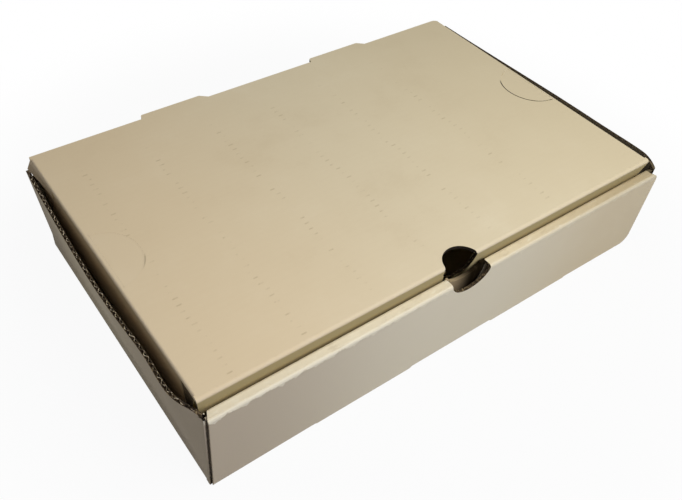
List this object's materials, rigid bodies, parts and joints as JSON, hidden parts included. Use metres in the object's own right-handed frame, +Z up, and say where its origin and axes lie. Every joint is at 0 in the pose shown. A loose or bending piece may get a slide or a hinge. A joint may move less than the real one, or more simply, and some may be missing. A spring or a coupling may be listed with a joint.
{
  "type": "takeaway food box",
  "caption": "Shallow folded box of thin corrugated board with a rolled-over front wall and a hinged lid that tucks in behind it, with thumb notches and half-moon vents.",
  "frame": {"origin": "middle of the underside of the base, on the table", "axes": "+X along the box to the right, +Y from the front wall to the hinge at the rear, +Z up"},
  "size_m": [0.2405, 0.1455, 0.0515],
  "materials": {
    "board": "plain unprinted micro-corrugated board, pale tan, matt"
  },
  "bodies": {
    "tray": {"tray": "board"},
    "lid": {"lid": "board"},
    "vent_left": {"vent_flap_left": "board"},
    "vent_right": {"vent_flap_right": "board"}
  },
  "joints": [
    {"name": "lid_hinge", "type": "hinge", "parent": "tray", "child": "lid", "pos_m": [0, 0.0712, 0.0515], "axis": [-1, 0, 0], "range_deg": [0, 180]},
    {"name": "vent_left_fold", "type": "hinge", "parent": "lid", "child": "vent_left", "pos_m": [-0.11545, 0.0012, 0.05], "axis": [0, 1, 0], "range_deg": [0, 75]},
    {"name": "vent_right_fold", "type": "hinge", "parent": "lid", "child": "vent_right", "pos_m": [0.10565, 0.0012, 0.05], "axis": [0, -1, 0], "range_deg": [0, 75]}
  ]
}
